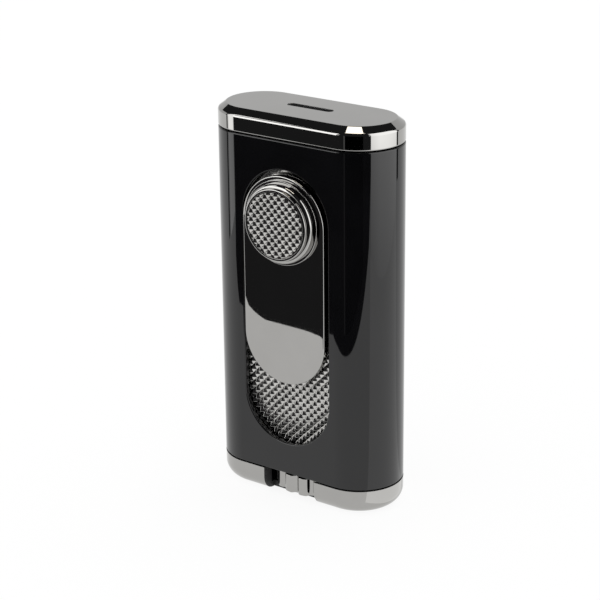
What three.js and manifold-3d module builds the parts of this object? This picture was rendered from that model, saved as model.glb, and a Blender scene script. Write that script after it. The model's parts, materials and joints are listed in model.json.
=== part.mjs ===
// A pocket butane torch with a sliding trigger: a lacquered shell between two polished caps, a fuel
// tank, a flow valve, a piezo igniter and a flat-flame burner. Millimetres, +Z up, front towards -Y.
// The origin is the middle of the underside of the base.
import * as THREE from 'three';
import { mergeVertices } from 'three/addons/utils/BufferGeometryUtils.js';
import Module from 'manifold-3d';

const wasm = await Module();
wasm.setup();

// Driving dimensions
const bodyWidth = 38.3;
const bodyDepth = 16.8;
const bodyHeight = 75;
const stroke = 6; // travel of the trigger
const clear = 0.3; // working clearance between two pieces
const touch = 0.1; // gap where one piece lies against another
const endRadius = bodyDepth / 2;
const endCentre = bodyWidth / 2 - endRadius;

// Casing
const base = { height: 5, edge: 3, floor: 1.2, spigotTop: 8.2 };
const shell = { wall: 1.1, bottom: 5.2, top: 70.6 };
const cap = { bottom: 70.8, slope: 1.53, rise: 1.13, roof: 1.5, spigotBottom: 67.8 };
const spigot = { outer: shell.wall + clear, inner: 2.4 };
const flame = { x: -0.3, y: 0.4, length: 9.8, width: 1.4 };
const frontWindow = { half: 9.6, low: 11.5, high: 65.2 };
const backplate = { half: 10.8, low: 10.3, high: 66.4, front: -7, back: -6 };

// Trigger
const plate = { half: 9.05, low: 24, high: 64.3, front: -9, back: -7.35 };
const post = { x: 5, half: 1.4, low: 39.1, high: 43.9, end: -5.6 };
const button = { z: 55.6, back: plate.front - 0.05, floor: -9.5, recess: 6.4 };
const buttonSteps = [[8, -9.6], [7.4, -10.6], [6.8, -11.4]]; // radius and front face of each step
const pad = { radius: 6.1, front: -11.7 };
const carriage = { half: 8, front: -5.4, back: -4.3, low: 38, high: 53 };
const pusher = { left: -14.6, right: -7.9, back: 1.5, low: 48.4, high: 51.2 };
const ramp = { left: 5.3, right: 7.3, low: 45, start: 46, end: 52, startY: -4.2, endY: -3.14 };
const slideScrewZ = (post.low + post.high) / 2;

// Chassis
const rail = { inner: 8.3, outer: 10.3, front: -5.7, back: -3.3, low: 9, high: 66 };
const foot = { left: -15.9, back: 4, top: 13.4 };
const crossbar = { low: 20, high: 22 };
const topBridgeLow = 60;
const plateScrewHeights = [24, 56];

// Adjuster, tank and valves
const wheel = { x: 1.8, radius: 8.75, low: 1.5, high: 4.8, lobes: 16, groove: 0.5, turn: -96.7 };
const notch = { left: -5.65, right: 6.05, inner: 5.2 };
const spindle = { radius: 0.9, bore: 1.2, low: 1.7, shoulder: 43.6, needle: 0.35, tip: 45.6 };
const tank = { inset: 1.6, wall: 1.2, left: -7.5, front: -3, low: 9, high: 42 };
const standpipe = { outer: 2, inner: 1.3 };
const gasket = { low: tank.high + touch, high: 42.7 };
const lid = { low: gasket.high + touch, high: 44.2 };
const valve = { radius: 1.9, bore: 1.3, inlet: 0.6, low: 44.5, seat: 46.6, high: 50.5 };
const stem = { foot: 1, footLow: 47.3, footHigh: 48.2, shaft: 0.7, collar: 1.7, nipple: 0.55, high: 55.2 };
const collar = { low: 52.75, high: 53.6 };
const fill = { x: 13.4, y: 0.6, radius: 1.9, low: 0.6, high: 12 };

// Lever and burner
const pivot = { y: -3, z: 52, pin: 0.5, hub: 1.1 };
const lever = { left: -0.3, right: 3.9, armLeft: 3.1, fingerEnd: 7.3, fingerY: -3.3, fingerZ: 46 };
const bracket = { left: -9, right: 5.3, back: 2.9, low: 59, high: 60.2, flangeTop: 65, flangeHalf: 8.5 };
const ears = [[-1.4, -0.6], [4.2, 5]];
const burner = { radius: 2.1, low: 60.5, high: 66, chamber: 1.4 };
const nozzle = { half: 4.7, halfDepth: 1.5, low: 66.3, high: 72.2 };
const shield = { low: 72.7, high: 73.2, inset: 2.8, half: 5.3, halfDepth: 2.1 };

// Igniter
const igniter = { left: -15.9, right: -10.6, half: 4, low: 13.7, high: 40, wall: 0.8 };
const plunger = { low: 25, high: 48, bore: 1.3, boreTop: 38 };
const piezoX = (igniter.left + igniter.right) / 2;
const electrode = { x: -7.5, low: 58.5, high: 69, tip: 71.2 };

// Solids from three.js shapes

function solidFrom(vertProperties, corners) {
  const triVerts = Uint32Array.from(corners);
  return new wasm.Manifold(new wasm.Mesh({ numProp: 3, vertProperties, triVerts }));
}

function solidOf(geometry) {
  geometry.deleteAttribute('normal');
  geometry.deleteAttribute('uv');
  const merged = mergeVertices(geometry);
  const places = Float32Array.from(merged.attributes.position.array);
  const corners = [];
  for (let i = 0; i < merged.index.count; i += 3) {
    const [a, b, c] = merged.index.array.slice(i, i + 3);
    if (a !== b && b !== c && c !== a) corners.push(a, b, c);
  }
  const solid = solidFrom(places, corners);
  return solid.volume() > 0 ? solid : solidFrom(places, corners.reverse());
}

function geometryOf(solid) {
  const mesh = solid.getMesh();
  const geometry = new THREE.BufferGeometry();
  geometry.setAttribute('position', new THREE.BufferAttribute(mesh.vertProperties, 3));
  geometry.setIndex(new THREE.BufferAttribute(mesh.triVerts, 1));
  geometry.computeVertexNormals();
  return geometry;
}

const join = (first, ...others) => others.reduce((sum, piece) => sum.add(piece), first);
const cut = (first, ...tools) => tools.reduce((rest, tool) => rest.subtract(tool), first);

function block([x0, x1], [y0, y1], [z0, z1]) {
  const geometry = new THREE.BoxGeometry(x1 - x0, y1 - y0, z1 - z0);
  return solidOf(geometry.translate((x0 + x1) / 2, (y0 + y1) / 2, (z0 + z1) / 2));
}

function extruded(outline, depth, curveSegments) {
  return new THREE.ExtrudeGeometry(outline, { depth, curveSegments, bevelEnabled: false });
}

// An XY outline raised along Z
function slab(outline, low, high, curveSegments = 10) {
  return solidOf(extruded(outline, high - low, curveSegments).translate(0, 0, low));
}

// An XZ outline run along Y
function slabAlongY(outline, front, back, curveSegments = 10) {
  return solidOf(extruded(outline, back - front, curveSegments).rotateX(Math.PI / 2).translate(0, back, 0));
}

// A YZ outline run along X
function slabAlongX(outline, left, right) {
  const axes = [new THREE.Vector3(0, 1, 0), new THREE.Vector3(0, 0, 1), new THREE.Vector3(1, 0, 0)];
  const geometry = extruded(outline, right - left, 1);
  return solidOf(geometry.applyMatrix4(new THREE.Matrix4().makeBasis(...axes)).translate(left, 0, 0));
}

// A profile of [radius, height] turned about a line parallel to one axis, which crosses the plane of
// the other two at (u, v)
function turned(axis, u, v, profile, sides = 16) {
  const geometry = new THREE.LatheGeometry(profile.map(([r, h]) => new THREE.Vector2(r, h)), sides);
  if (axis === 'x') geometry.rotateZ(-Math.PI / 2).translate(0, u, v);
  if (axis === 'y') geometry.translate(u, 0, v);
  if (axis === 'z') geometry.rotateX(Math.PI / 2).translate(u, v, 0);
  return solidOf(geometry);
}

function rod(axis, u, v, radius, low, high, sides) {
  return turned(axis, u, v, [[0, low], [radius, low], [radius, high], [0, high]], sides);
}

function tube(axis, u, v, inner, outer, low, high, sides) {
  const profile = [[inner, low], [outer, low], [outer, high], [inner, high], [inner, low]];
  return turned(axis, u, v, profile, sides);
}

function polygon(points) {
  return new THREE.Shape(points.map(([x, y]) => new THREE.Vector2(x, y)));
}

function roundOutline(radius, sides) {
  const corners = Array.from({ length: sides }, (_, i) => (2 * Math.PI * i) / sides);
  return polygon(corners.map((angle) => [radius * Math.cos(angle), radius * Math.sin(angle)]));
}

// The section of the casing, drawn in from its outer face
function casingOutline(inset) {
  const outline = new THREE.Shape();
  outline.absarc(endCentre, 0, endRadius - inset, -Math.PI / 2, Math.PI / 2);
  outline.absarc(-endCentre, 0, endRadius - inset, Math.PI / 2, 1.5 * Math.PI);
  return outline;
}

// An upright outline with round ends, in XZ
function uprightOutline(half, low, high, x = 0) {
  const outline = new THREE.Shape();
  outline.absarc(x, high - half, half, 0, Math.PI);
  outline.absarc(x, low + half, half, Math.PI, 2 * Math.PI);
  return outline;
}

// A solid casing section with both ends drawn in, by a slope or by a rounded edge
function softEnded(inset, rise, bevelSegments, low, high) {
  const depth = high - low - 2 * rise;
  const options = { depth, bevelThickness: rise, bevelSize: inset, bevelSegments, curveSegments: 10 };
  const geometry = new THREE.ExtrudeGeometry(casingOutline(inset), options);
  return solidOf(geometry.translate(0, 0, low + rise));
}

class Helix extends THREE.Curve {
  constructor(x, y, radius, low, high, turns) {
    super();
    Object.assign(this, { x, y, radius, low, high, turns });
  }

  getPoint(t, target = new THREE.Vector3()) {
    const angle = 2 * Math.PI * this.turns * t;
    const { x, y, radius, low, high } = this;
    return target.set(x + radius * Math.cos(angle), y + radius * Math.sin(angle), low + (high - low) * t);
  }
}

function coil(x, y, radius, wire, low, high, turns) {
  const path = new Helix(x, y, radius, low + wire / 2, high - wire / 2, turns);
  const options = { steps: 8 * turns, extrudePath: path };
  return solidOf(new THREE.ExtrudeGeometry(roundOutline(wire / 2, 5), options));
}

function runAlong(points, outline, steps) {
  const path = new THREE.CatmullRomCurve3(points.map((point) => new THREE.Vector3(...point)));
  return solidOf(new THREE.ExtrudeGeometry(outline, { steps, extrudePath: path }));
}

// Casing

function outerShell() {
  const walls = cut(
    slab(casingOutline(0), shell.bottom, shell.top),
    slab(casingOutline(shell.wall), shell.bottom - 1, shell.top + 1),
  );
  const opening = uprightOutline(frontWindow.half, frontWindow.low, frontWindow.high);
  return cut(walls, slabAlongY(opening, -endRadius - 1, -endRadius + 2));
}

function topCap() {
  const { x, y, length, width } = flame;
  const crown = softEnded(cap.slope, cap.rise, 1, 60, bodyHeight)
    .intersect(block([-30, 30], [-20, 20], [cap.bottom, bodyHeight + 1]));
  const skirt = slab(casingOutline(spigot.outer), cap.spigotBottom, cap.bottom + 0.4);
  const hollow = slab(casingOutline(spigot.inner), cap.spigotBottom - 0.1, bodyHeight - cap.roof);
  const slot = block([x - length / 2, x + length / 2], [y - width / 2, y + width / 2], [73, 76]);
  return cut(join(crown, skirt), hollow, slot);
}

function flameShield() {
  const across = [flame.x - shield.half, flame.x + shield.half];
  const deep = [flame.y - shield.halfDepth, flame.y + shield.halfDepth];
  const opening = block(across, deep, [shield.low - 1, shield.high + 1]);
  return cut(slab(casingOutline(shield.inset), shield.low, shield.high), opening);
}

function baseCap() {
  const bowl = softEnded(base.edge, base.edge, 4, 0, 20)
    .intersect(block([-30, 30], [-20, 20], [-1, base.height]));
  const ring = slab(casingOutline(spigot.outer), base.height - 0.5, base.spigotTop);
  const hollow = slab(casingOutline(spigot.inner), base.floor, base.spigotTop + 0.1);
  const wheelRoom = rod('z', wheel.x, 0, wheel.radius + clear, base.floor, base.height, 48);
  const notches = [-1, 1].map((side) => {
    const reach = [side * notch.inner, side * (endRadius + 1)].sort((a, b) => a - b);
    return block([notch.left, notch.right], reach, [-1, base.height]);
  });
  const screwHoles = baseScrewPlaces().map(([x, y]) => rod('z', x, y, 1.5, -1, 2));
  const fillHole = rod('z', fill.x, fill.y, 2.5, -1, 2, 24);
  return cut(join(bowl, ring), hollow, wheelRoom, fillHole, ...notches, ...screwHoles);
}

function baseScrewPlaces() {
  const x = -12.2;
  return [[x, -2.6], [x, 2.6]];
}

function baseScrew([x, y]) {
  return turned('z', x, y, [[0, 0.4], [1.15, 0.4], [1.15, 1], [0.55, 1.4], [0.55, 11.5], [0, 11.9]], 12);
}

// Trigger

function backplateSolid() {
  const { half, low, high, front, back } = backplate;
  const sheet = slabAlongY(uprightOutline(half, low, high), front, back);
  const width = post.half + 0.4;
  const slotHeight = [post.low - stroke - clear, post.high + clear];
  const depth = [front - 1, back + 1];
  const slots = [-post.x, post.x].map((x) => block([x - width, x + width], depth, slotHeight));
  const pilots = plateScrewPlaces().map(([x, z]) => rod('y', x, z, 0.7, back - 0.7, back + 1));
  return cut(sheet, ...slots, ...pilots);
}

function plateScrewPlaces() {
  const x = (rail.inner + rail.outer) / 2;
  return plateScrewHeights.flatMap((z) => [[-x, z], [x, z]]);
}

function slidePlate() {
  const sheet = slabAlongY(uprightOutline(plate.half, plate.low, plate.high), plate.front, plate.back);
  const posts = [-post.x, post.x].map((x) => cut(
    block([x - post.half, x + post.half], [plate.back - 0.5, post.end], [post.low, post.high]),
    rod('y', x, slideScrewZ, 0.8, plate.back, post.end + 1),
  ));
  return join(sheet, ...posts);
}

function thumbBezel() {
  const [[flange, flangeFront], [middle, middleFront], [lip, lipFront]] = buttonSteps;
  return turned('y', 0, button.z, [
    [0, button.back], [flange, button.back], [flange, flangeFront], [middle, flangeFront],
    [middle, middleFront], [lip, middleFront], [lip, lipFront], [button.recess, lipFront],
    [button.recess, button.floor], [0, button.floor],
  ], 36);
}

function thumbPad() {
  return rod('y', 0, button.z, pad.radius, pad.front, button.floor - touch, 36);
}

function slideCarriage() {
  const { half, front, back, low, high } = carriage;
  const sheet = block([-half, half], [front, back], [low, high]);
  const arm = block([pusher.left, pusher.right], [front, pusher.back], [pusher.low, pusher.high]);
  const rib = slabAlongX(polygon([
    [back - 0.5, ramp.low], [ramp.startY, ramp.low], [ramp.startY, ramp.start],
    [ramp.endY, ramp.end], [ramp.endY, high], [back - 0.5, high],
  ]), ramp.left, ramp.right);
  const holes = [-post.x, post.x].map((x) => rod('y', x, slideScrewZ, 0.8, front - 1, back + 1));
  return cut(join(sheet, arm, rib), ...holes);
}

// A cheese-head screw lying along Y, with its head to the back
function screwAlongY(x, z, head, shank, tip, shoulder, end) {
  const profile = [[0, tip], [shank, tip], [shank, shoulder], [head, shoulder], [head, end], [0, end]];
  return turned('y', x, z, profile, 12);
}

function slideScrew(x) {
  return screwAlongY(x, slideScrewZ, 1.4, 0.5, -6.9, carriage.back + touch, -3.5);
}

function returnSpring() {
  return coil(0, -4.5, 1.05, 0.5, crossbar.high + clear, carriage.low - 0.2, 7);
}

function springGuideRod() {
  return rod('z', 0, -4.5, 0.6, crossbar.high + touch, carriage.low - stroke - 0.5, 12);
}

// Chassis

function chassisFrame() {
  const { inner, outer, front, back, low, high } = rail;
  const across = (z0, z1) => block([-outer, outer], [front, back], [z0, z1]);
  const rails = [-1, 1].map((side) => {
    const sides = [side * inner, side * outer].sort((a, b) => a - b);
    return block(sides, [front, back], [low, high]);
  });
  const shelf = block([foot.left, -inner], [front, foot.back], [low, foot.top]);
  const bridges = [across(low, 13), across(crossbar.low, crossbar.high), across(topBridgeLow, high)];
  const frame = join(...rails, ...bridges, shelf);
  const armRoom = [pusher.low - stroke - 0.9, pusher.high + 0.8];
  const armPath = block([-outer - 1, -inner + 1], [front - 1, back + 1], armRoom);
  const shelfEnd = block([-25, -inner], [-20, 20], [low - 1, foot.top + 1]);
  const shelfCorner = cut(shelfEnd, slab(casingOutline(1.6), 0, 30));
  const screwHoles = [
    ...baseScrewPlaces().map(([x, y]) => rod('z', x, y, 0.9, low - 1, 12.4)),
    ...burnerScrewPlaces().map(([x, z]) => rod('y', x, z, 0.8, -5.2, back + 1)),
    ...plateScrewPlaces().map(([x, z]) => screwAlongY(x, z, 1.1, 0.7, front - 1, -4.4, back + 1)),
  ];
  return cut(frame, armPath, shelfCorner, ...screwHoles);
}

function plateScrew([x, z]) {
  return screwAlongY(x, z, 0.85, 0.45, backplate.back - 0.5, -4.2, rail.back - touch);
}

// Adjuster

function adjusterWheel() {
  const { x, radius, low, high, lobes, groove, turn } = wheel;
  const points = [];
  const steps = 6 * lobes;
  for (let i = 0; i < steps; i += 1) {
    const angle = (2 * Math.PI * i) / steps;
    const reach = radius - groove * (1 - Math.abs(Math.cos((lobes * angle) / 2)));
    const place = angle + THREE.MathUtils.degToRad(turn);
    points.push([x + reach * Math.cos(place), reach * Math.sin(place)]);
  }
  return cut(slab(polygon(points), low, high), rod('z', x, 0, spindle.bore, low - 1, high + 1));
}

function adjusterSpindle() {
  const { radius, low, shoulder, needle, tip } = spindle;
  return turned('z', wheel.x, 0, [
    [0, low], [radius, low], [radius, shoulder], [needle, shoulder + 0.6], [needle, tip], [0, tip],
  ], 12);
}

function wheelSpacer() {
  return tube('z', wheel.x, 0, spindle.bore, 2.4, wheel.high + clear, tank.low - clear);
}

// Tank

function tankOutline(inset, low, high) {
  const inner = inset + tank.inset;
  const room = block([tank.left + inset, bodyWidth], [tank.front + inset, bodyDepth], [low - 1, high + 1]);
  return slab(casingOutline(inner), low, high, 8).intersect(room);
}

function tankBody() {
  const { wall, low, high } = tank;
  const pipe = rod('z', wheel.x, 0, standpipe.outer, low, high + 1);
  const room = cut(tankOutline(wall, low + wall, high + 1), pipe);
  const bore = rod('z', wheel.x, 0, standpipe.inner, low - 1, high + 1);
  const fillHole = rod('z', fill.x, fill.y, fill.radius + clear, low - 1, low + wall + 0.1);
  return cut(tankOutline(0, low, high), room, bore, fillHole);
}

function tankGasket() {
  const { low, high } = gasket;
  return cut(tankOutline(0.1, low, high), tankOutline(tank.wall, low - 1, high + 1));
}

function tankLid() {
  return cut(tankOutline(0, lid.low, lid.high), rod('z', wheel.x, 0, standpipe.inner, 40, 50));
}

// Flow valve

function flowValveBody() {
  const { radius, bore, inlet, low, seat, high } = valve;
  return turned('z', wheel.x, 0, [
    [inlet, low], [radius, low], [radius, high], [bore, high], [bore, seat], [inlet, seat], [inlet, low],
  ], 20);
}

function flowValveSeal() {
  return rod('z', wheel.x, 0, stem.foot, valve.seat + touch, stem.footLow - touch);
}

function flowValveStem() {
  const { foot: footRadius, footLow, footHigh, shaft, nipple, high } = stem;
  return turned('z', wheel.x, 0, [
    [0, footLow], [footRadius, footLow], [footRadius, footHigh], [shaft, footHigh], [shaft, collar.low],
    [stem.collar, collar.low], [stem.collar, collar.high], [nipple, collar.high], [nipple, high], [0, high],
  ]);
}

function flowValveSpring() {
  return coil(wheel.x, 0, 1, 0.22, stem.footHigh + 0.2, valve.high, 4);
}

function flowValveNut() {
  return tube('z', wheel.x, 0, 0.95, valve.radius, valve.high + 0.2, 51.3, 6);
}

// Gas lever

function gasLever() {
  const { left, right, armLeft, fingerEnd, fingerY, fingerZ } = lever;
  const hub = rod('x', pivot.y, pivot.z, pivot.hub, left, right);
  const arm = block([armLeft, right], [-3.4, -2.8], [fingerZ - 0.5, pivot.z]);
  const finger = rod('x', fingerY, fingerZ, 0.6, armLeft, fingerEnd);
  const fork = block([left, right], [pivot.y + 0.5, 1.6], [pivot.z - 0.4, pivot.z + 0.4]);
  const forkSlot = block([wheel.x - 0.95, wheel.x + 0.95], [-1.3, 2], [50, 54]);
  const bore = rod('x', pivot.y, pivot.z, pivot.pin + clear, left - 1, right + 1);
  return cut(join(hub, arm, finger, fork), forkSlot, bore);
}

function leverPin() {
  const radius = pivot.pin;
  const head = 0.9;
  const profile = [[0, -2.1], [head, -2.1], [head, -1.6], [radius, -1.6], [radius, 5.15], [0, 5.15]];
  return turned('x', pivot.y, pivot.z, profile, 12);
}

// Burner

function burnerBracket() {
  const { left, right, back, low, high, flangeTop, flangeHalf } = bracket;
  const front = rail.back + clear;
  const shelf = block([left, right], [front, back], [low, high]);
  const flange = block([-flangeHalf, flangeHalf], [front, front + 1], [low, flangeTop]);
  const earDepth = [pivot.y - 0.9, pivot.y + 0.9];
  const hangers = ears.map((sides) => block(sides, earDepth, [pivot.z - 1.2, low + 0.5]));
  const holes = [
    rod('z', flame.x, flame.y, 1.7, low - 1, high + 1),
    rod('z', electrode.x, flame.y, 1.5, low - 1, high + 1),
    rod('x', pivot.y, pivot.z, pivot.pin + 0.15, -3, 6),
    ...burnerScrewPlaces().map(([x, z]) => rod('y', x, z, 0.8, front - 1, front + 2)),
  ];
  return cut(join(shelf, flange, ...hangers), ...holes);
}

function burnerScrewPlaces() {
  return [[-7, 62.5], [7, 62.5]];
}

function burnerScrew([x, z]) {
  return screwAlongY(x, z, 1.3, 0.5, -5, rail.back + clear + 1 + touch, -1.1);
}

function gasHose() {
  const section = roundOutline(1.3, 8);
  section.holes.push(roundOutline(0.9, 8));
  const { x, y } = flame;
  const route = [
    [wheel.x, 0, collar.high + 1], [wheel.x, 0, 55.6], [1.6, 0.04, 56.4],
    [0.75, 0.2, 57.4], [-0.1, 0.36, 58.4], [x, y, 59.2], [x, y, burner.low - clear],
  ];
  return runAlong(route, section, 14);
}

function burnerBody() {
  const { radius, low, high, chamber } = burner;
  return turned('z', flame.x, flame.y, [
    [0.3, 59.4], [0.6, 59.4], [0.6, low], [radius, low], [radius, high],
    [chamber, high], [chamber, 62], [0.3, 62], [0.3, 59.4],
  ], 24);
}

function jetOrifice() {
  return tube('z', flame.x, flame.y, 0.2, burner.chamber - clear, 62.1, 62.8);
}

function burnerNozzle() {
  const { half, halfDepth, low, high } = nozzle;
  const { x, y } = flame;
  const outline = new THREE.Shape();
  outline.absarc(x + half - halfDepth, y, halfDepth, -Math.PI / 2, Math.PI / 2);
  outline.absarc(x - half + halfDepth, y, halfDepth, Math.PI / 2, 1.5 * Math.PI);
  const slit = block([x - half + 0.6, x + half - 0.6], [y - 0.45, y + 0.45], [low + 1.2, high + 1]);
  return cut(slab(outline, low, high, 6), slit, rod('z', x, y, 1.2, low - 1, low + 1.3));
}

// Igniter

function piezoCase() {
  const { left, right, half, low, high, wall } = igniter;
  const room = block([left + wall, right - wall], [wall - half, half - wall], [low + 1.2, high + 1]);
  return cut(block([left, right], [-half, half], [low, high]), room);
}

function piezoPlunger() {
  const inset = igniter.wall + clear;
  const sides = [igniter.left + inset, igniter.right - inset];
  const body = block(sides, [inset - igniter.half, igniter.half - inset], [plunger.low, plunger.high]);
  return cut(body, rod('z', piezoX, 0, plunger.bore, plunger.low - 1, plunger.boreTop));
}

function piezoElement() {
  return turned('z', piezoX, 0, [[0, 15.1], [1.5, 15.1], [1.5, 17.6], [1, 18.3], [0, 18.3]]);
}

function piezoSpring() {
  return coil(piezoX, 0, 0.85, 0.35, 18.5, plunger.boreTop - 0.2, 9);
}

function electrodeInsulator() {
  return tube('z', electrode.x, flame.y, 0.6, 1.2, electrode.low, electrode.high);
}

function electrodePin() {
  const { x, low, tip } = electrode;
  const { y } = flame;
  const route = [[x, y, low - 0.2], [x, y, 66], [x, y, 70], [x + 0.5, y, 70.9], [x + 2, y, tip]];
  return runAlong(route, roundOutline(0.3, 6), 10);
}

function ignitionLead() {
  const route = [
    [-12.3, 4.9, 16], [-12.3, 4.9, 32], [-12.3, 4.9, 48],
    [-11.6, 4.3, 52], [-9, 1.8, 55.4], [electrode.x, flame.y, electrode.low - 0.6],
  ];
  return runAlong(route, roundOutline(0.45, 6), 20);
}

// Fill valve

function fillValveBody() {
  const { x, y, radius, low, high } = fill;
  return turned('z', x, y, [
    [0.75, low], [radius, low], [radius, high - 1], [radius - 0.4, high], [0.5, high],
    [0.5, high - 0.8], [1.25, high - 0.8], [1.25, low + 1.2], [0.75, low + 1.2], [0.75, low],
  ], 20);
}

function fillValveStem() {
  return turned('z', fill.x, fill.y, [
    [0, 0.8], [0.45, 0.8], [0.45, 2.1], [0.95, 2.1], [0.95, 3.2], [0.3, 3.2], [0.3, 5], [0, 5],
  ]);
}

function fillValveSpring() {
  return coil(fill.x, fill.y, 0.8, 0.3, 3.4, 11, 6);
}

function fillValveRing() {
  const ring = new THREE.TorusGeometry(2.4, 0.28, 5, 16);
  return solidOf(ring.translate(fill.x, fill.y, tank.low - 0.4));
}

// Finishes

function finish(color, roughness, metalness) {
  return new THREE.MeshStandardMaterial({ color, roughness, metalness });
}

const blackLacquer = () => finish(0x0b0b0c, 0.08, 0);
const darkChrome = () => finish(0x9a9894, 0.08, 1);
const darkTexture = () => finish(0x5c5b5a, 0.3, 1);
const springSteel = () => finish(0xb8b8b4, 0.3, 1);
const zincSteel = () => finish(0xa9aaa8, 0.35, 1);
const brass = () => finish(0xb59a55, 0.3, 1);
const blackPlastic = () => finish(0x151515, 0.55, 0);
const smokePlastic = () => finish(0x6a6a62, 0.3, 0);
const rubber = () => finish(0x1c1b1a, 0.8, 0);
const ceramic = () => finish(0xe8e3d8, 0.4, 0);
const redLead = () => finish(0x9c2b22, 0.5, 0);

const pieces = [
  ['outer_shell', outerShell(), blackLacquer()],
  ['top_cap', topCap(), darkChrome()],
  ['base_cap', baseCap(), darkChrome()],
  ['flame_shield', flameShield(), zincSteel()],
  ['backplate', backplateSolid(), darkTexture()],
  ['slide_plate', slidePlate(), darkChrome()],
  ['thumb_bezel', thumbBezel(), darkChrome()],
  ['thumb_pad', thumbPad(), darkTexture()],
  ['slide_carriage', slideCarriage(), blackPlastic()],
  ['slide_screw_left', slideScrew(-post.x), zincSteel()],
  ['slide_screw_right', slideScrew(post.x), zincSteel()],
  ['return_spring', returnSpring(), springSteel()],
  ['spring_guide_rod', springGuideRod(), zincSteel()],
  ['chassis_frame', chassisFrame(), blackPlastic()],
  ['adjuster_wheel', adjusterWheel(), darkChrome()],
  ['adjuster_spindle', adjusterSpindle(), brass()],
  ['wheel_spacer', wheelSpacer(), blackPlastic()],
  ['tank_body', tankBody(), smokePlastic()],
  ['tank_gasket', tankGasket(), rubber()],
  ['tank_lid', tankLid(), smokePlastic()],
  ['flow_valve_body', flowValveBody(), brass()],
  ['flow_valve_seal', flowValveSeal(), rubber()],
  ['flow_valve_stem', flowValveStem(), brass()],
  ['flow_valve_spring', flowValveSpring(), springSteel()],
  ['flow_valve_nut', flowValveNut(), brass()],
  ['gas_lever', gasLever(), zincSteel()],
  ['lever_pin', leverPin(), zincSteel()],
  ['burner_bracket', burnerBracket(), zincSteel()],
  ['gas_hose', gasHose(), rubber()],
  ['burner_body', burnerBody(), brass()],
  ['jet_orifice', jetOrifice(), brass()],
  ['burner_nozzle', burnerNozzle(), brass()],
  ['piezo_case', piezoCase(), blackPlastic()],
  ['piezo_plunger', piezoPlunger(), blackPlastic()],
  ['piezo_element', piezoElement(), ceramic()],
  ['piezo_spring', piezoSpring(), springSteel()],
  ['electrode_insulator', electrodeInsulator(), ceramic()],
  ['electrode_pin', electrodePin(), springSteel()],
  ['ignition_lead', ignitionLead(), redLead()],
  ['fill_valve_body', fillValveBody(), brass()],
  ['fill_valve_stem', fillValveStem(), brass()],
  ['fill_valve_spring', fillValveSpring(), springSteel()],
  ['fill_valve_ring', fillValveRing(), rubber()],
];

function addScrews(name, places, screwAt) {
  places.forEach((place, i) => pieces.push([`${name}_${i + 1}`, screwAt(place), zincSteel()]));
}

addScrews('base_screw', baseScrewPlaces(), baseScrew);
addScrews('burner_screw', burnerScrewPlaces(), burnerScrew);
addScrews('backplate_screw', plateScrewPlaces(), plateScrew);

const torch = new THREE.Group();
for (const [name, solid, material] of pieces) {
  const mesh = new THREE.Mesh(geometryOf(solid), material);
  mesh.name = name;
  torch.add(mesh);
}

export default torch;
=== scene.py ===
import bpy
import bmesh
import json
from math import atan2, cos, pi, radians, sin
from mathutils import Matrix, Quaternion, Vector


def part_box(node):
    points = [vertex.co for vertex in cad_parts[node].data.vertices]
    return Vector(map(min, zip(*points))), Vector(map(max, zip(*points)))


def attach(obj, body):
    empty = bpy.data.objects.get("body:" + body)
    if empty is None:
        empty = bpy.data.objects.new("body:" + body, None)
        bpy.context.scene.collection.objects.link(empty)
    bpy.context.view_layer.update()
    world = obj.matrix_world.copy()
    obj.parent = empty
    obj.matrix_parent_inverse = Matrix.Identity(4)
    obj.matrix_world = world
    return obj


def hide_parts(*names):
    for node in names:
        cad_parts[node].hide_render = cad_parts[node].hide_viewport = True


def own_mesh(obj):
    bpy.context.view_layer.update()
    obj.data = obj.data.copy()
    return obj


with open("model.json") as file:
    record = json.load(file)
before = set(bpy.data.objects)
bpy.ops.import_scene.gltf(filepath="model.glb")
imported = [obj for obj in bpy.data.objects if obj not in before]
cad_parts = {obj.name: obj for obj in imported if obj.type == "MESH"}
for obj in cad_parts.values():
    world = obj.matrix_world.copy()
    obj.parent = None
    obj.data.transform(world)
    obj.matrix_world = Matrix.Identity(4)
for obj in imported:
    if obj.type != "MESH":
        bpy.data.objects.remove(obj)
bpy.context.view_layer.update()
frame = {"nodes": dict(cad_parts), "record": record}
mm = 0.001

shellLow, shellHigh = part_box("outer_shell")
endRadius = (shellHigh.y - shellLow.y) / 2     # the casing's ends are half round
endCentre = shellHigh.x - endRadius            # from the middle to each end's centre
record = frame["record"]
slotOfNode = {row["node"]: row["material_slot"] for row in record["subparts"]}
bodyOfNode = {node: body for body, nodes in record["behaviour"]["bodies"].items() for node in nodes}


# selecting and shaping

def activate(obj):
    bpy.ops.object.select_all(action="DESELECT")
    obj.select_set(True)
    bpy.context.view_layer.objects.active = obj


def startEdit(obj):
    activate(obj)
    bpy.ops.object.mode_set(mode="EDIT")


def endEdit():
    bpy.ops.object.mode_set(mode="OBJECT")


def pick(obj, kind, test):
    # selects the vertices, edges or faces of the mesh in edit mode that pass the test
    bpy.ops.mesh.select_mode(type=kind)
    bpy.ops.mesh.select_all(action="DESELECT")
    mesh = bmesh.from_edit_mesh(obj.data)
    for item in {"VERT": mesh.verts, "EDGE": mesh.edges, "FACE": mesh.faces}[kind]:
        if test(item):
            item.select_set(True)
    mesh.select_flush_mode()
    bmesh.update_edit_mesh(obj.data)


def placeMesh(obj):
    activate(obj)
    bpy.ops.object.transform_apply(location=True, rotation=True, scale=True)


def applyModifier(obj, modifier):
    activate(obj)
    bpy.ops.object.modifier_apply(modifier=modifier.name)


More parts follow.
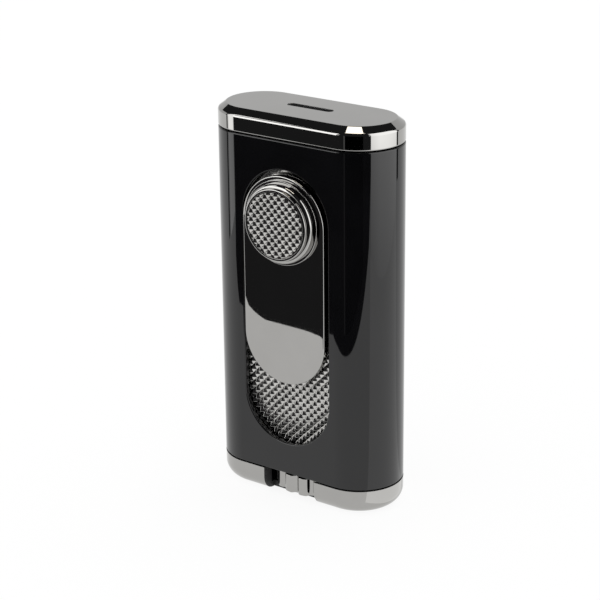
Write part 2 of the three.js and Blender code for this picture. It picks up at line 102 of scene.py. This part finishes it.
def roundEnded(name, radius, reach, low, high, sides=96):
    # a standing block with half-round ends: half a cylinder, drawn out to the middle and mirrored
    bpy.ops.mesh.primitive_cylinder_add(vertices=sides, radius=radius, depth=high - low)
    obj = bpy.context.object
    obj.name = name
    startEdit(obj)
    bpy.ops.mesh.select_all(action="SELECT")
    bpy.ops.mesh.bisect(plane_co=(0, 0, 0), plane_no=(1, 0, 0), clear_inner=True)
    bpy.ops.mesh.select_all(action="SELECT")
    bpy.ops.transform.translate(value=(reach, 0, 0))
    pick(obj, "EDGE", lambda edge: edge.is_boundary)
    bpy.ops.mesh.extrude_region_move(TRANSFORM_OT_translate={"value": (-reach, 0, 0)})
    endEdit()
    mirror = obj.modifiers.new("otherEnd", "MIRROR")
    mirror.merge_threshold = 1e-6
    applyModifier(obj, mirror)
    startEdit(obj)
    bpy.ops.mesh.select_all(action="SELECT")
    bpy.ops.mesh.remove_doubles(threshold=1e-7)
    bpy.ops.mesh.dissolve_limited(angle_limit=radians(0.1))
    bpy.ops.mesh.select_all(action="SELECT")
    bpy.ops.mesh.normals_make_consistent(inside=False)
    endEdit()
    obj.location = (0, 0, (low + high) / 2)
    placeMesh(obj)
    return obj


def uprightEnded(name, half, low, high, front, back, sides=96):
    # the same block stood on end: its long way is Z and its thickness is Y
    obj = roundEnded(name, half, (high - low) / 2 - half, front, back, sides)
    obj.rotation_euler = Matrix(((0, 1, 0), (0, 0, 1), (1, 0, 0))).to_euler()
    obj.location = (0, 0, (low + high) / 2)
    placeMesh(obj)
    return obj


def block(name, low, high):
    bpy.ops.mesh.primitive_cube_add(size=1, location=(Vector(low) + Vector(high)) / 2)
    obj = bpy.context.object
    obj.name = name
    obj.scale = Vector(high) - Vector(low)
    placeMesh(obj)
    return obj


def rod(name, x, y, radius, low, high, sides=96):
    bpy.ops.mesh.primitive_cylinder_add(vertices=sides, radius=radius, depth=high - low,
                                        location=(x, y, (low + high) / 2))
    obj = bpy.context.object
    obj.name = name
    placeMesh(obj)
    return obj


def combine(obj, operation, *tools):
    for tool in tools:
        boolean = obj.modifiers.new("combine", "BOOLEAN")
        boolean.operation = operation
        boolean.solver = "EXACT"
        boolean.object = tool
        applyModifier(obj, boolean)
        bpy.data.objects.remove(tool)


def softenEdges(obj, width, segments=3, angle=35):
    # rounds every hard edge and keeps the flats flat
    activate(obj)
    bpy.ops.object.shade_smooth()
    bevel = obj.modifiers.new("softEdges", "BEVEL")
    bevel.width = width
    bevel.segments = segments
    bevel.limit_method = "ANGLE"
    bevel.angle_limit = radians(angle)
    applyModifier(obj, bevel)
    keepFlats(obj)


def keepFlats(obj):
    # shades by face area, so that a flat face stays flat up to its rounded edges
    weighted = obj.modifiers.new("flats", "WEIGHTED_NORMAL")
    weighted.mode = "FACE_AREA"
    weighted.weight = 80
    applyModifier(obj, weighted)


def finishPiece(obj, name, node, *others):
    obj.name = name
    obj.data.name = name
    obj.data.materials.clear()
    obj.data.materials.append(finishes[slotOfNode[node]])
    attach(obj, bodyOfNode[node])
    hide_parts(node, *others)
    print("made", name, len(obj.data.polygons), "faces")


def fromMiddle(point):
    # how far a point is from the line that joins the centres of the casing's two round ends
    return Vector((max(abs(point.x) - endCentre, 0), point.y)).length


def paintShadeInside(obj, inPaintedShade):
    # painted shade: a dark matt material on the faces that look into the casing, where shade falls
    obj.data.materials.append(finishes["black_plastic"])
    for face in obj.data.polygons:
        if inPaintedShade(face):
            face.material_index = 1


# finishes

finishSettings = {
    "lacquer": {"dark": (0.0022, 0.0022, 0.0026), "light": (0.0036, 0.0036, 0.0042), "metallic": 0,
                "rough": (0.02, 0.035), "grain": 900, "bump": 0.002, "stretch": (1, 1, 1)},
    "dark_chrome": {"dark": (0.362, 0.357, 0.345), "light": (0.38, 0.375, 0.363), "metallic": 1,
                    "rough": (0.012, 0.026), "grain": 1200, "bump": 0.0008, "stretch": (1, 1, 1)},
    "texture_metal": {"dark": (0.44, 0.435, 0.42), "light": (0.58, 0.572, 0.555), "metallic": 1,
                      "rough": (0.12, 0.22), "grain": 2600, "bump": 0.03, "stretch": (1, 1, 1)},
    "spring_steel": {"dark": (0.42, 0.42, 0.41), "light": (0.60, 0.60, 0.58), "metallic": 1,
                     "rough": (0.18, 0.35), "grain": 3000, "bump": 0.02, "stretch": (1, 1, 0.2)},
    "zinc_steel": {"dark": (0.42, 0.43, 0.44), "light": (0.58, 0.59, 0.58), "metallic": 1,
                   "rough": (0.28, 0.45), "grain": 1500, "bump": 0.05, "stretch": (1, 1, 1)},
    "brass": {"dark": (0.50, 0.35, 0.13), "light": (0.68, 0.50, 0.22), "metallic": 1,
              "rough": (0.18, 0.35), "grain": 2200, "bump": 0.03, "stretch": (0.15, 0.15, 3)},
    "black_plastic": {"dark": (0.012, 0.012, 0.012), "light": (0.024, 0.024, 0.025), "metallic": 0,
                      "rough": (0.45, 0.6), "grain": 5000, "bump": 0.12, "stretch": (1, 1, 1)},
    "smoke_plastic": {"dark": (0.10, 0.10, 0.085), "light": (0.15, 0.15, 0.13), "metallic": 0,
                      "rough": (0.18, 0.3), "grain": 1800, "bump": 0.04, "stretch": (1, 1, 1)},
    "rubber": {"dark": (0.012, 0.012, 0.012), "light": (0.024, 0.024, 0.024), "metallic": 0,
               "rough": (0.65, 0.85), "grain": 4000, "bump": 0.2, "stretch": (1, 1, 1)},
    "ceramic": {"dark": (0.66, 0.62, 0.54), "light": (0.80, 0.77, 0.70), "metallic": 0,
                "rough": (0.3, 0.45), "grain": 3500, "bump": 0.08, "stretch": (1, 1, 1)},
    "red_lead": {"dark": (0.30, 0.025, 0.02), "light": (0.42, 0.045, 0.035), "metallic": 0,
                 "rough": (0.35, 0.5), "grain": 3000, "bump": 0.06, "stretch": (1, 1, 0.3)},
}


def makeFinish(name, settings):
    material = bpy.data.materials.new(name)
    material.use_nodes = True
    nodes, links = material.node_tree.nodes, material.node_tree.links
    shader = nodes["Principled BSDF"]
    shader.inputs["Metallic"].default_value = settings["metallic"]
    place = nodes.new("ShaderNodeTexCoord")
    mapping = nodes.new("ShaderNodeMapping")
    mapping.inputs["Scale"].default_value = settings["stretch"]
    links.new(place.outputs["Object"], mapping.inputs["Vector"])
    cloud = nodes.new("ShaderNodeTexNoise")         # slow changes of tone
    cloud.inputs["Scale"].default_value = settings["grain"] / 8
    cloud.inputs["Detail"].default_value = 3
    grain = nodes.new("ShaderNodeTexNoise")         # fine grain, felt in the polish and the bump
    grain.inputs["Scale"].default_value = settings["grain"]
    grain.inputs["Detail"].default_value = 5
    for texture in (cloud, grain):
        links.new(mapping.outputs["Vector"], texture.inputs["Vector"])
    tone = nodes.new("ShaderNodeValToRGB")
    tone.color_ramp.elements[0].position = 0.3
    tone.color_ramp.elements[1].position = 0.7
    tone.color_ramp.elements[0].color = (*settings["dark"], 1)
    tone.color_ramp.elements[1].color = (*settings["light"], 1)
    links.new(cloud.outputs["Fac"], tone.inputs["Fac"])
    links.new(tone.outputs["Color"], shader.inputs["Base Color"])
    polish = nodes.new("ShaderNodeMapRange")
    polish.inputs["From Min"].default_value = 0.3
    polish.inputs["From Max"].default_value = 0.7
    polish.inputs["To Min"].default_value, polish.inputs["To Max"].default_value = settings["rough"]
    links.new(grain.outputs["Fac"], polish.inputs["Value"])
    links.new(polish.outputs["Result"], shader.inputs["Roughness"])
    bump = nodes.new("ShaderNodeBump")
    bump.inputs["Strength"].default_value = settings["bump"]
    bump.inputs["Distance"].default_value = 0.05 * mm
    links.new(grain.outputs["Fac"], bump.inputs["Height"])
    links.new(bump.outputs["Normal"], shader.inputs["Normal"])
    return material


finishes = {name: makeFinish(name, settings) for name, settings in finishSettings.items()}
print("finishes ready")


# casing

shellSizes = {"wall": 1.1 * mm, "windowHalf": 9.6 * mm, "windowLow": 11.5 * mm, "windowHigh": 65.2 * mm,
              "windowDepth": (-12 * mm, -5 * mm), "edge": 0.28 * mm}


def makeShell():
    sizes = shellSizes
    shell = roundEnded("shell", endRadius, endCentre, shellLow.z, shellHigh.z)
    bore = roundEnded("bore", endRadius - sizes["wall"], endCentre, shellLow.z - mm, shellHigh.z + mm)
    window = uprightEnded("window", sizes["windowHalf"], sizes["windowLow"], sizes["windowHigh"],
                          *sizes["windowDepth"])
    combine(shell, "DIFFERENCE", bore, window)
    softenEdges(shell, sizes["edge"], 4)
    finishPiece(shell, "lacquered_shell", "outer_shell")


capSizes = {"gap": 0.2 * mm, "slopeIn": 1.53 * mm, "slopeUp": 1.13 * mm, "lip": 0.3 * mm, "brow": 0.34 * mm,
            "edge": 0.1 * mm, "hollowIn": 2.4 * mm, "roof": 1.5 * mm, "slot": (10 * mm, 1.6 * mm),
            "slotAt": (-0.3 * mm, 0.4 * mm), "slotDepth": 3 * mm,
            "paintedShadeIn": 2.2 * mm, "paintedShadeDown": 0.05 * mm}


def makeTopCap():
    sizes = capSizes
    low, top = shellHigh.z + sizes["gap"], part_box("top_cap")[1].z
    shoulder = top - sizes["slopeUp"]
    cap = roundEnded("cap", endRadius, endCentre, low, shoulder)
    startEdit(cap)
    pick(cap, "FACE", lambda face: face.normal.z > 0.9)
    bpy.ops.mesh.inset(thickness=sizes["slopeIn"])
    bpy.ops.transform.translate(value=(0, 0, sizes["slopeUp"]))
    pick(cap, "EDGE", lambda edge: all(abs(v.co.z - low) < 1e-6 for v in edge.verts))
    bpy.ops.mesh.bevel(offset=sizes["lip"], segments=5)
    pick(cap, "EDGE", lambda edge: all(abs(v.co.z - shoulder) < 1e-6 for v in edge.verts))
    bpy.ops.mesh.bevel(offset=sizes["brow"], segments=6)
    endEdit()
    x, y = sizes["slotAt"]
    length, width = sizes["slot"]
    hollow = roundEnded("hollow", endRadius - sizes["hollowIn"], endCentre, low - mm, top - sizes["roof"])
    slot = roundEnded("slot", width / 2, (length - width) / 2, top - sizes["slotDepth"], top + mm, 32)
    slot.location = (x, y, 0)
    placeMesh(slot)
    combine(cap, "DIFFERENCE", hollow, slot)
    softenEdges(cap, sizes["edge"], 3, 25)
    finishPiece(cap, "polished_top_cap", "top_cap")
    # painted shade: the hollow under the roof and the slot's inner walls are painted dark for the shade
    # inside the cap
    inner, under = endRadius - sizes["paintedShadeIn"], top - sizes["paintedShadeDown"]
    paintShadeInside(cap, lambda face: fromMiddle(face.center) < inner and face.center.z < under)


baseSizes = {"height": 5 * mm, "round": 3 * mm, "floor": 1.2 * mm, "hollowIn": 2.4 * mm, "edge": 0.15 * mm,
             "wheelRoom": 9.05 * mm, "notchInner": 5.2 * mm, "notchOuter": 10 * mm,
             "notchLeft": -5.65 * mm, "notchRight": 6.05 * mm, "fillHole": 2.5 * mm, "screwHole": 1.5 * mm,
             "holeDepth": 2 * mm, "paintedShadeIn": 2.2 * mm, "paintedShadeUp": 0.2 * mm}


def makeBaseCap():
    sizes = baseSizes
    height = sizes["height"]
    base = roundEnded("base", endRadius, endCentre, 0, height)
    startEdit(base)
    pick(base, "EDGE", lambda edge: all(abs(v.co.z) < 1e-6 for v in edge.verts))
    bpy.ops.mesh.bevel(offset=sizes["round"], segments=12)
    endEdit()
    wheelLow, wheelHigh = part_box("adjuster_wheel")
    wheelX = (wheelLow.x + wheelHigh.x) / 2
    hollow = roundEnded("hollow", endRadius - sizes["hollowIn"], endCentre, sizes["floor"], height + mm)
    room = rod("room", wheelX, 0, sizes["wheelRoom"], sizes["floor"], height + mm, 128)
    cutters = [hollow, room]
    inner, outer = sizes["notchInner"], sizes["notchOuter"]
    for front, back in ((-outer, -inner), (inner, outer)):
        cutters.append(block("notch", (sizes["notchLeft"], front, -mm),
                             (sizes["notchRight"], back, height + mm)))
    fillLow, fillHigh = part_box("fill_valve_body")
    fillAt = (fillLow + fillHigh) / 2
    cutters.append(rod("fillHole", fillAt.x, fillAt.y, sizes["fillHole"], -mm, sizes["holeDepth"], 48))
    for number in (1, 2):
        screwLow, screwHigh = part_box(f"base_screw_{number}")
        screwAt = (screwLow + screwHigh) / 2
        cutters.append(rod("screwHole", screwAt.x, screwAt.y, sizes["screwHole"],
                           -mm, sizes["holeDepth"], 32))
    combine(base, "DIFFERENCE", *cutters)
    softenEdges(base, sizes["edge"], 3, 30)
    finishPiece(base, "polished_base_cap", "base_cap")

    def inPaintedShade(face):    # the notches' ends, and all that lies behind the wall and above the floor's edge, take the painted shade
        notchEnd = abs(face.normal.x) > 0.9 and abs(face.center.x) < endCentre
        deep = fromMiddle(face.center) < endRadius - sizes["paintedShadeIn"]
        return notchEnd or deep and face.center.z > sizes["paintedShadeUp"]

    # painted shade on the notches' ends and the inside of the base
    paintShadeInside(base, inPaintedShade)


# adjuster wheel

# each band is from one step to another, counted from the groove, and its share of the groove's depth
wheelSizes = {"lobes": 16, "stepsPerLobe": 14, "groove": 0.66 * mm, "firstLobe": -101.25, "edge": 0.06 * mm,
              "foot": 0.3 * mm, "rise": 0.3 * mm, "bore": 1.2 * mm,
              "bands": [(0, 1.2, 1), (1.2, 2.2, 0.78), (2.2, 3.1, 0.34),
                        (3.1, 4.1, 0.06), (4.1, 5.1, 0.03)]}


def makeWheel():
    sizes = wheelSizes
    low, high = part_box("adjuster_wheel")
    axis = Vector(((low.x + high.x) / 2, 0, 0))
    radius = (high.x - low.x) / 2
    steps = sizes["lobes"] * sizes["stepsPerLobe"]
    wheel = rod("wheel", axis.x, 0, radius, low.z, high.z + sizes["rise"], steps)
    startEdit(wheel)

    def step(vert):    # which of a lobe's steps a rim vertex stands on, 0 in the groove
        away = vert.co - axis
        angle = atan2(away.y, away.x)
        share = (angle - radians(sizes["firstLobe"])) / (2 * pi) * sizes["lobes"] + 0.5
        place = (share % 1) * sizes["stepsPerLobe"]
        return min(place, sizes["stepsPerLobe"] - place)

    for near, far, depth in sizes["bands"]:
        pick(wheel, "VERT", lambda vert: near <= step(vert) < far)
        scale = 1 - depth * sizes["groove"] / radius
        bpy.ops.transform.resize(value=(scale, scale, 1), center_override=axis)
    pick(wheel, "EDGE", lambda edge: all(abs(v.co.z - low.z) < 1e-6 for v in edge.verts))
    bpy.ops.mesh.bevel(offset=sizes["foot"], segments=4)
    endEdit()
    combine(wheel, "DIFFERENCE", rod("bore", axis.x, 0, sizes["bore"], low.z - mm, high.z + mm, 48))
    softenEdges(wheel, sizes["edge"], 3, 50)
    finishPiece(wheel, "lobed_adjuster_wheel", "adjuster_wheel")


# trigger

# the crown's steps are an inset, then a move forwards, both in mm
plateSizes = {"thickness": 1.65 * mm, "edge": 0.3 * mm,
              "crown": [(0.9, 0.02), (1, 0.009), (1.2, 0.004), (1.4, 0.0015)]}
postSizes = {"at": (-5 * mm, 5 * mm), "half": 1.4 * mm, "low": 39.1 * mm, "high": 43.9 * mm,
             "sunk": 0.4 * mm}


def makeSlidePlate():
    low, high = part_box("slide_plate")
    back = low.y + plateSizes["thickness"]
    crown = plateSizes["crown"]
    front = low.y + sum(step for inward, step in crown) * mm
    plate = uprightEnded("plate", (high.x - low.x) / 2, low.z, high.z, front, back, 128)
    startEdit(plate)
    pick(plate, "FACE", lambda face: face.normal.y < -0.9)
    for inward, step in crown:
        bpy.ops.mesh.inset(thickness=inward * mm)
        bpy.ops.transform.translate(value=(0, -step * mm, 0))
    endEdit()
    half = postSizes["half"]
    for x in postSizes["at"]:
        post = block("post", (x - half, back - postSizes["sunk"], postSizes["low"]),
                     (x + half, high.y, postSizes["high"]))
        combine(plate, "UNION", post)
    softenEdges(plate, plateSizes["edge"], 6, 35)
    finishPiece(plate, "mirror_slide_plate", "slide_plate")


# rounds are a crest's radius and its rounding, and steps are an action and its size, all in mm
bezelSizes = {"flange": 0.5 * mm, "rounds": [(8, 0.1), (7.5, 0.6), (6.85, 0.24), (6.25, 0.08)]}
bezelSteps = [("inset", 0.5), ("out", 1.15), ("inset", 0.65), ("out", 0.7), ("inset", 0.6), ("out", -1.8)]


def makeBezel():
    low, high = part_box("thumb_bezel")
    centre = Vector((0, 0, (low.z + high.z) / 2))
    flange = bezelSizes["flange"]
    bpy.ops.mesh.primitive_cylinder_add(vertices=128, radius=(high.x - low.x) / 2, depth=flange,
                                        location=(0, high.y - flange / 2, centre.z),
                                        rotation=(pi / 2, 0, 0))
    bezel = bpy.context.object
    placeMesh(bezel)
    startEdit(bezel)
    pick(bezel, "FACE", lambda face: face.normal.y < -0.9)
    for action, size in bezelSteps:
        if action == "inset":
            bpy.ops.mesh.inset(thickness=size * mm)
        else:
            bpy.ops.mesh.extrude_region_move(TRANSFORM_OT_translate={"value": (0, -size * mm, 0)})

    def onCrest(edge, radius):    # a ring edge of that radius, at the front of its step
        away = [Vector((v.co.x, v.co.z - centre.z)).length for v in edge.verts]
        level = abs(edge.verts[0].co.y - edge.verts[1].co.y) < 1e-7
        foremost = min(face.calc_center_median().y for face in edge.link_faces)
        front = all(abs(v.co.y - foremost) < 1e-6 for v in edge.verts)
        return level and front and all(abs(a - radius * mm) < 0.02 * mm for a in away)

    for radius, width in bezelSizes["rounds"]:
        pick(bezel, "EDGE", lambda edge: onCrest(edge, radius))
        bpy.ops.mesh.bevel(offset=width * mm, segments=6)
    endEdit()
    activate(bezel)
    bpy.ops.object.shade_smooth_by_angle(angle=radians(40))
    finishPiece(bezel, "stepped_thumb_bezel", "thumb_bezel")


def pyramidField(name, middle, size, pitch, height, thickness):
    # a sheet facing the front, whose squares stand on their corners and are raised to points
    cells = int(size / pitch) + 2
    bpy.ops.mesh.primitive_grid_add(x_subdivisions=cells, y_subdivisions=cells, size=cells * pitch)
    field = bpy.context.object
    field.name = name
    startEdit(field)
    bpy.ops.mesh.select_all(action="SELECT")
    bpy.ops.mesh.extrude_region_move(TRANSFORM_OT_translate={"value": (0, 0, -thickness)})
    bpy.ops.mesh.select_all(action="SELECT")
    bpy.ops.mesh.normals_make_consistent(inside=False)
    pick(field, "FACE", lambda face: face.normal.z > 0.9)
    bpy.ops.mesh.poke(offset=height)
    endEdit()
    field.rotation_euler = (Matrix.Rotation(pi / 2, 4, "X") @ Matrix.Rotation(pi / 4, 4, "Z")).to_euler()
    field.location = middle
    placeMesh(field)
    return field


def softenRidges(obj, width, angle=20):
    # keeps the facets flat and takes the sharpness off the ridges and points
    activate(obj)
    bpy.ops.object.shade_flat()
    bevel = obj.modifiers.new("ridges", "BEVEL")
    bevel.width = width
    bevel.segments = 1
    bevel.limit_method = "ANGLE"
    bevel.angle_limit = radians(angle)
    applyModifier(obj, bevel)


padSizes = {"pitch": 1.13 * mm, "height": 0.4 * mm, "cutDepth": 6 * mm, "edge": 0.035 * mm}


def makePad():
    low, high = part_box("thumb_pad")
    centre = (low + high) / 2
    radius = (high.x - low.x) / 2
    valley = low.y + padSizes["height"]
    field = pyramidField("pad", (0, valley, centre.z), 2 * radius, padSizes["pitch"],
                         padSizes["height"], high.y - valley)
    bpy.ops.mesh.primitive_cylinder_add(vertices=96, radius=radius, depth=padSizes["cutDepth"],
                                        location=centre, rotation=(pi / 2, 0, 0))
    disc = bpy.context.object
    placeMesh(disc)
    combine(field, "INTERSECT", disc)
    softenRidges(field, padSizes["edge"])
    finishPiece(field, "pyramid_thumb_pad", "thumb_pad")


# reach is the field's side as a share of the panel's height and width together
panelSizes = {"pitch": 1.18 * mm, "height": 0.4 * mm, "edge": 0.03 * mm, "reach": 0.72,
              "plainAbove": 31 * mm, "plainRise": 0.03 * mm}
panelSlots = {"at": (-5 * mm, 5 * mm), "half": 1.8 * mm, "low": 32.8 * mm, "high": 44.2 * mm}


def makeBackplate():
    low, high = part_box("backplate")
    valley = low.y + panelSizes["height"]
    middle = (0, valley, (low.z + high.z) / 2)
    side = (high.z - low.z + high.x - low.x) * panelSizes["reach"]
    field = pyramidField("panel", middle, side, panelSizes["pitch"], panelSizes["height"], high.y - valley)
    outline = uprightEnded("outline", (high.x - low.x) / 2, low.z, high.z, low.y - mm, high.y + mm)
    combine(field, "INTERSECT", outline)
    flat = block("flat", (low.x - mm, low.y - mm, panelSizes["plainAbove"]),
                 (high.x + mm, valley + panelSizes["plainRise"], high.z + mm))
    combine(field, "DIFFERENCE", flat)
    half = panelSlots["half"]
    for x in panelSlots["at"]:
        slot = block("slot", (x - half, low.y - mm, panelSlots["low"]),
                     (x + half, high.y + mm, panelSlots["high"]))
        combine(field, "DIFFERENCE", slot)
    softenRidges(field, panelSizes["edge"])
    finishPiece(field, "pyramid_backplate", "backplate")


# springs: round wire wound between the ends of the imported spring

# wire is the wire's radius, and held is the end that stays put

springSettings = {
    "return_spring": {"joint": "slide_trigger", "wire": 0.25 * mm, "turns": 7,
                      "travel": 6 * mm, "held": "low"},
    "piezo_spring": {"joint": "plunger_slide", "wire": 0.175 * mm, "turns": 9,
                     "travel": 6 * mm, "held": "low"},
    "flow_valve_spring": {"joint": "flow_stem_lift", "wire": 0.11 * mm, "turns": 4,
                          "travel": 0.8 * mm, "held": "high"},
    "fill_valve_spring": {"joint": "fill_stem_press", "wire": 0.15 * mm, "turns": 6,
                          "travel": 1.2 * mm, "held": "high"},
}


def makeSpring(node, settings):
    low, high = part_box(node)
    wire, turns = settings["wire"], settings["turns"]
    centre = (low + high) / 2
    height = high.z - low.z - 2 * wire
    bpy.ops.mesh.primitive_circle_add(vertices=10, radius=wire, rotation=(pi / 2, 0, 0),
                                      location=((high.x - low.x) / 2 - wire, 0, 0))
    spring = bpy.context.object
    placeMesh(spring)
    screw = spring.modifiers.new("winding", "SCREW")
    screw.screw_offset = height / turns
    screw.iterations = turns
    screw.steps = screw.render_steps = 28
    applyModifier(spring, screw)
    startEdit(spring)
    bpy.ops.mesh.select_all(action="SELECT")
    bpy.ops.mesh.remove_doubles(threshold=1e-7)
    bpy.ops.mesh.fill_holes(sides=0)
    bpy.ops.mesh.select_all(action="SELECT")
    bpy.ops.mesh.normals_make_consistent(inside=False)
    endEdit()
    spring.location = (centre.x, centre.y, low.z + wire)
    placeMesh(spring)
    activate(spring)
    bpy.ops.object.shade_smooth_by_angle(angle=radians(50))
    finishPiece(spring, "wound_" + node, node)
    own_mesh(spring)


makeShell()
makeTopCap()
makeBaseCap()
makeWheel()
makeSlidePlate()
makeBezel()
makePad()
makeBackplate()
for node, settings in springSettings.items():
    makeSpring(node, settings)

replaced = {"outer_shell", "top_cap", "base_cap", "adjuster_wheel", "slide_plate", "thumb_bezel",
            "thumb_pad", "backplate", *springSettings}
for node, obj in frame["nodes"].items():
    if node not in replaced:
        obj.data.materials.clear()
        obj.data.materials.append(finishes[slotOfNode[node]])
print("inner pieces painted")


# studio

def plainMaterial(name, color, strength):
    # a matt surface, or an even glow where strength is above nothing
    material = bpy.data.materials.new(name)
    material.use_nodes = True
    shader = material.node_tree.nodes["Principled BSDF"]
    shader.inputs["Base Color"].default_value = (0, 0, 0, 1) if strength else (*color, 1)
    shader.inputs["Roughness"].default_value = 1
    shader.inputs["Specular IOR Level"].default_value = 0
    shader.inputs["Emission Color"].default_value = (*(color if strength else (1, 1, 1)), 1)
    shader.inputs["Emission Strength"].default_value = strength
    return material


def makeFloor():
    bpy.ops.mesh.primitive_plane_add(size=6, location=(0, 0, 0))
    floor = bpy.context.object
    floor.name = "floor"
    tone = studioSettings["floorTone"]
    floor.data.materials.append(plainMaterial("paleFloor", (tone, tone, tone), 0))
    shader = floor.data.materials[0].node_tree.nodes["Principled BSDF"]
    shader.inputs["Emission Color"].default_value = (1, 1, 1, 1)
    shader.inputs["Emission Strength"].default_value = studioSettings["floorGlow"]


def card(name, corners, color, strength):
    # a studio card that only shows in polished surfaces
    mesh = bpy.data.meshes.new(name)
    mesh.from_pydata([Vector(corner) for corner in corners], [], [range(len(corners))])
    obj = bpy.data.objects.new(name, mesh)
    bpy.context.scene.collection.objects.link(obj)
    mesh.materials.append(plainMaterial(name, color, strength))
    obj.visible_camera = False
    obj.visible_diffuse = False
    obj.visible_shadow = False
    obj.visible_transmission = False
    return obj


def sheetCard(name, settings):
    corners = [(x, y, settings["level"]) for x, y in settings["corners"]]
    return card(name, corners, settings["color"], settings["glow"])


def wallCard(name, settings):
    (x0, y0), (x1, y1), height = settings["start"], settings["end"], settings["height"]
    corners = [(x0, y0, 0), (x1, y1, 0), (x1, y1, height), (x0, y0, height)]
    return card(name, corners, settings["color"], settings["glow"])


# the cards, in metres: sheets lie flat by their corners, and walls stand from a start to an end
black, dark, white = (0.001, 0.001, 0.001), (0.022, 0.022, 0.023), (1, 1, 1)
tableSheets = {
    "darkTable": {"level": 0.0005, "color": dark, "glow": 1,
                  "corners": [(-0.75, -0.75), (-0.205, -0.204), (-0.150, -0.150), (-0.112, -0.104),
                              (-0.090, -0.092), (-0.069, -0.0865), (-0.061, -0.0835), (-0.045, -0.083),
                              (-0.020, -0.087), (0.150, -0.088), (0.250, -0.118), (0.700, -0.330),
                              (0.7, -1.2), (-0.75, -1.2)]},
    "blackSheet": {"level": 0.0008, "color": black, "glow": 0,
                   "corners": [(0.013, -0.1), (0.11, -0.104), (0.65, -0.66), (0.65, -1.1), (0.006, -1.1)]},
    "lightSeam": {"level": 0.0008, "color": (0.13, 0.13, 0.13), "glow": 1,
                  "corners": [(0.0065, -0.1), (0.0105, -0.1), (-0.01, -1.1), (-0.075, -1.1)]},
    "rightFloor": {"level": 0.0004, "color": white, "glow": 1.3,
                   "corners": [(0.0195, -0.009), (0.15, -0.077), (0.15, 0.146), (0.0195, 0.012)]},
}
walls = {
    "rightBox": {"start": (0.150, -0.073), "end": (0.150, 0.146), "height": 0.30,
                 "color": white, "glow": 1},
    "leftBox": {"start": (-0.150, -0.078), "end": (-0.140, -0.131), "height": 0.25,
                "color": white, "glow": 2},
    "leftGap": {"start": (-0.155, -0.058), "end": (-0.155, -0.070), "height": 0.25,
                "color": black, "glow": 0},
    "rightGap": {"start": (0.16, 0.165), "end": (0.145, 0.180), "height": 0.25,
                 "color": black, "glow": 0},
    "frontSheet": {"start": (-0.75, -0.600), "end": (-0.155, -0.400), "height": 0.42,
                   "color": white, "glow": 2.8},
    "darkRoom": {"start": (-0.20, -0.75), "end": (0.65, -0.40), "height": 0.95,
                 "color": dark, "glow": 1},
}
ceilings = {
    "darkCeiling": {"level": 0.5, "color": dark, "glow": 1,
                    "corners": [(-0.9, -0.75), (0.7, -0.75), (0.7, 0.55), (-0.9, 0.55)]},
    "overhead": {"level": 0.49, "color": (1, 0.93, 0.82), "glow": 3.6,
                 "corners": [(-0.110, -0.080), (0.075, -0.080), (0.075, 0.024), (-0.110, 0.024)]},
}
studioSettings = {"floorTone": 0.16, "floorGlow": 0.89, "worldGlow": 0.72,
                  "fadeFrom": -0.073, "fadeReach": (0.06, 0.05), "fadeGlow": (1.4, 2.4), "fadeFront": 0.85}


def fadeCorner(material, corner, reach, strengths):
    # the glow is weak at the card's lower front corner and grows upwards and backwards from it
    nodes, links = material.node_tree.nodes, material.node_tree.links
    place = nodes.new("ShaderNodeTexCoord")
    parts = nodes.new("ShaderNodeSeparateXYZ")
    links.new(place.outputs["Object"], parts.inputs["Vector"])
    upwards = nodes.new("ShaderNodeMapRange")
    upwards.inputs["From Max"].default_value = reach[1]
    upwards.inputs["To Min"].default_value, upwards.inputs["To Max"].default_value = strengths
    backwards = nodes.new("ShaderNodeMapRange")
    backwards.inputs["From Min"].default_value = corner
    backwards.inputs["From Max"].default_value = corner + reach[0]
    backwards.inputs["To Min"].default_value = studioSettings["fadeFront"]
    product = nodes.new("ShaderNodeMath")
    product.operation = "MULTIPLY"
    links.new(parts.outputs["Z"], upwards.inputs["Value"])
    links.new(parts.outputs["Y"], backwards.inputs["Value"])
    links.new(upwards.outputs["Result"], product.inputs[0])
    links.new(backwards.outputs["Result"], product.inputs[1])
    links.new(product.outputs["Value"], nodes["Principled BSDF"].inputs["Emission Strength"])


def makeStudio():
    makeFloor()
    for name, settings in {**tableSheets, **ceilings}.items():
        sheetCard(name, settings)
    cards = {name: wallCard(name, settings) for name, settings in walls.items()}
    fadeCorner(cards["rightBox"].data.materials[0], studioSettings["fadeFrom"], studioSettings["fadeReach"],
               studioSettings["fadeGlow"])
    world = bpy.data.worlds.new("tent")
    world.use_nodes = True
    background = world.node_tree.nodes["Background"]
    background.inputs["Color"].default_value = (1, 1, 1, 1)
    background.inputs["Strength"].default_value = studioSettings["worldGlow"]
    bpy.context.scene.world = world
    bpy.context.scene.view_settings.view_transform = "Standard"
    print("studio ready")


cameraSettings = {"target": (-2.819 * mm, 0, 37.34 * mm), "distance": 368.246 * mm,
                  "around": 36.313, "up": 20.076, "roll": -0.644, "lens": 116.99}


def makeCamera():
    settings = cameraSettings
    around, up = radians(settings["around"]), radians(settings["up"])
    away = Vector((sin(around) * cos(up), -cos(around) * cos(up), sin(up)))
    camera = bpy.data.objects.new("camera", bpy.data.cameras.new("camera"))
    bpy.context.scene.collection.objects.link(camera)
    camera.location = Vector(settings["target"]) + settings["distance"] * away
    camera.rotation_mode = "QUATERNION"
    roll = Quaternion((0, 0, 1), radians(settings["roll"]))
    camera.rotation_quaternion = (-away).to_track_quat("-Z", "Y") @ roll
    camera.data.lens = settings["lens"]
    camera.data.clip_start = 0.01
    bpy.context.scene.camera = camera


makeStudio()
makeCamera()
